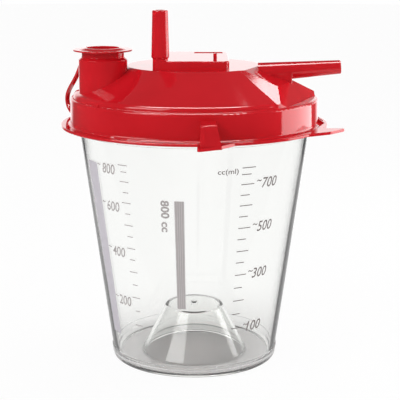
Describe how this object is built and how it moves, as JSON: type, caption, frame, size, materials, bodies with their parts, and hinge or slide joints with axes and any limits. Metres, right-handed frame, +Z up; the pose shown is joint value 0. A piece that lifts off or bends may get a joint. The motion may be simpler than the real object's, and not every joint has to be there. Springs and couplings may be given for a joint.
{
  "type": "suction canister",
  "caption": "Clear tapered fluid collection canister under a press-on lid with a vacuum port, a patient port, a filter chamber and a stoppered pouring spout.",
  "frame": {"origin": "centre of the face that the canister stands on, on the canister's axis", "axes": "+Z up along the canister's axis, -Y the front with the graduations and the lug, +X the side of the patient port"},
  "size_m": [0.1459, 0.1509, 0.1847],
  "materials": {
    "clear_plastic": "gloss",
    "lid_plastic": "gloss",
    "membrane": "matte",
    "grid_plastic": "satin",
    "cap_plastic": "gloss",
    "strap_plastic": "gloss"
  },
  "bodies": {
    "canister": {"canister_body": "clear_plastic"},
    "lid": {"lid": "lid_plastic", "filter_membrane": "membrane", "filter_grid": "grid_plastic", "cap_strap": "strap_plastic"},
    "stopper": {"spout_cap": "cap_plastic"}
  },
  "joints": [
    {"name": "lid_lift", "type": "slide", "parent": "canister", "child": "lid", "axis": [0, 0, 1], "range_m": [0, 0.04]},
    {"name": "cap_pull", "type": "slide", "parent": "lid", "child": "stopper", "axis": [0, 0, 1], "range_m": [0, 0.01], "deforming": ["cap_strap"]}
  ]
}
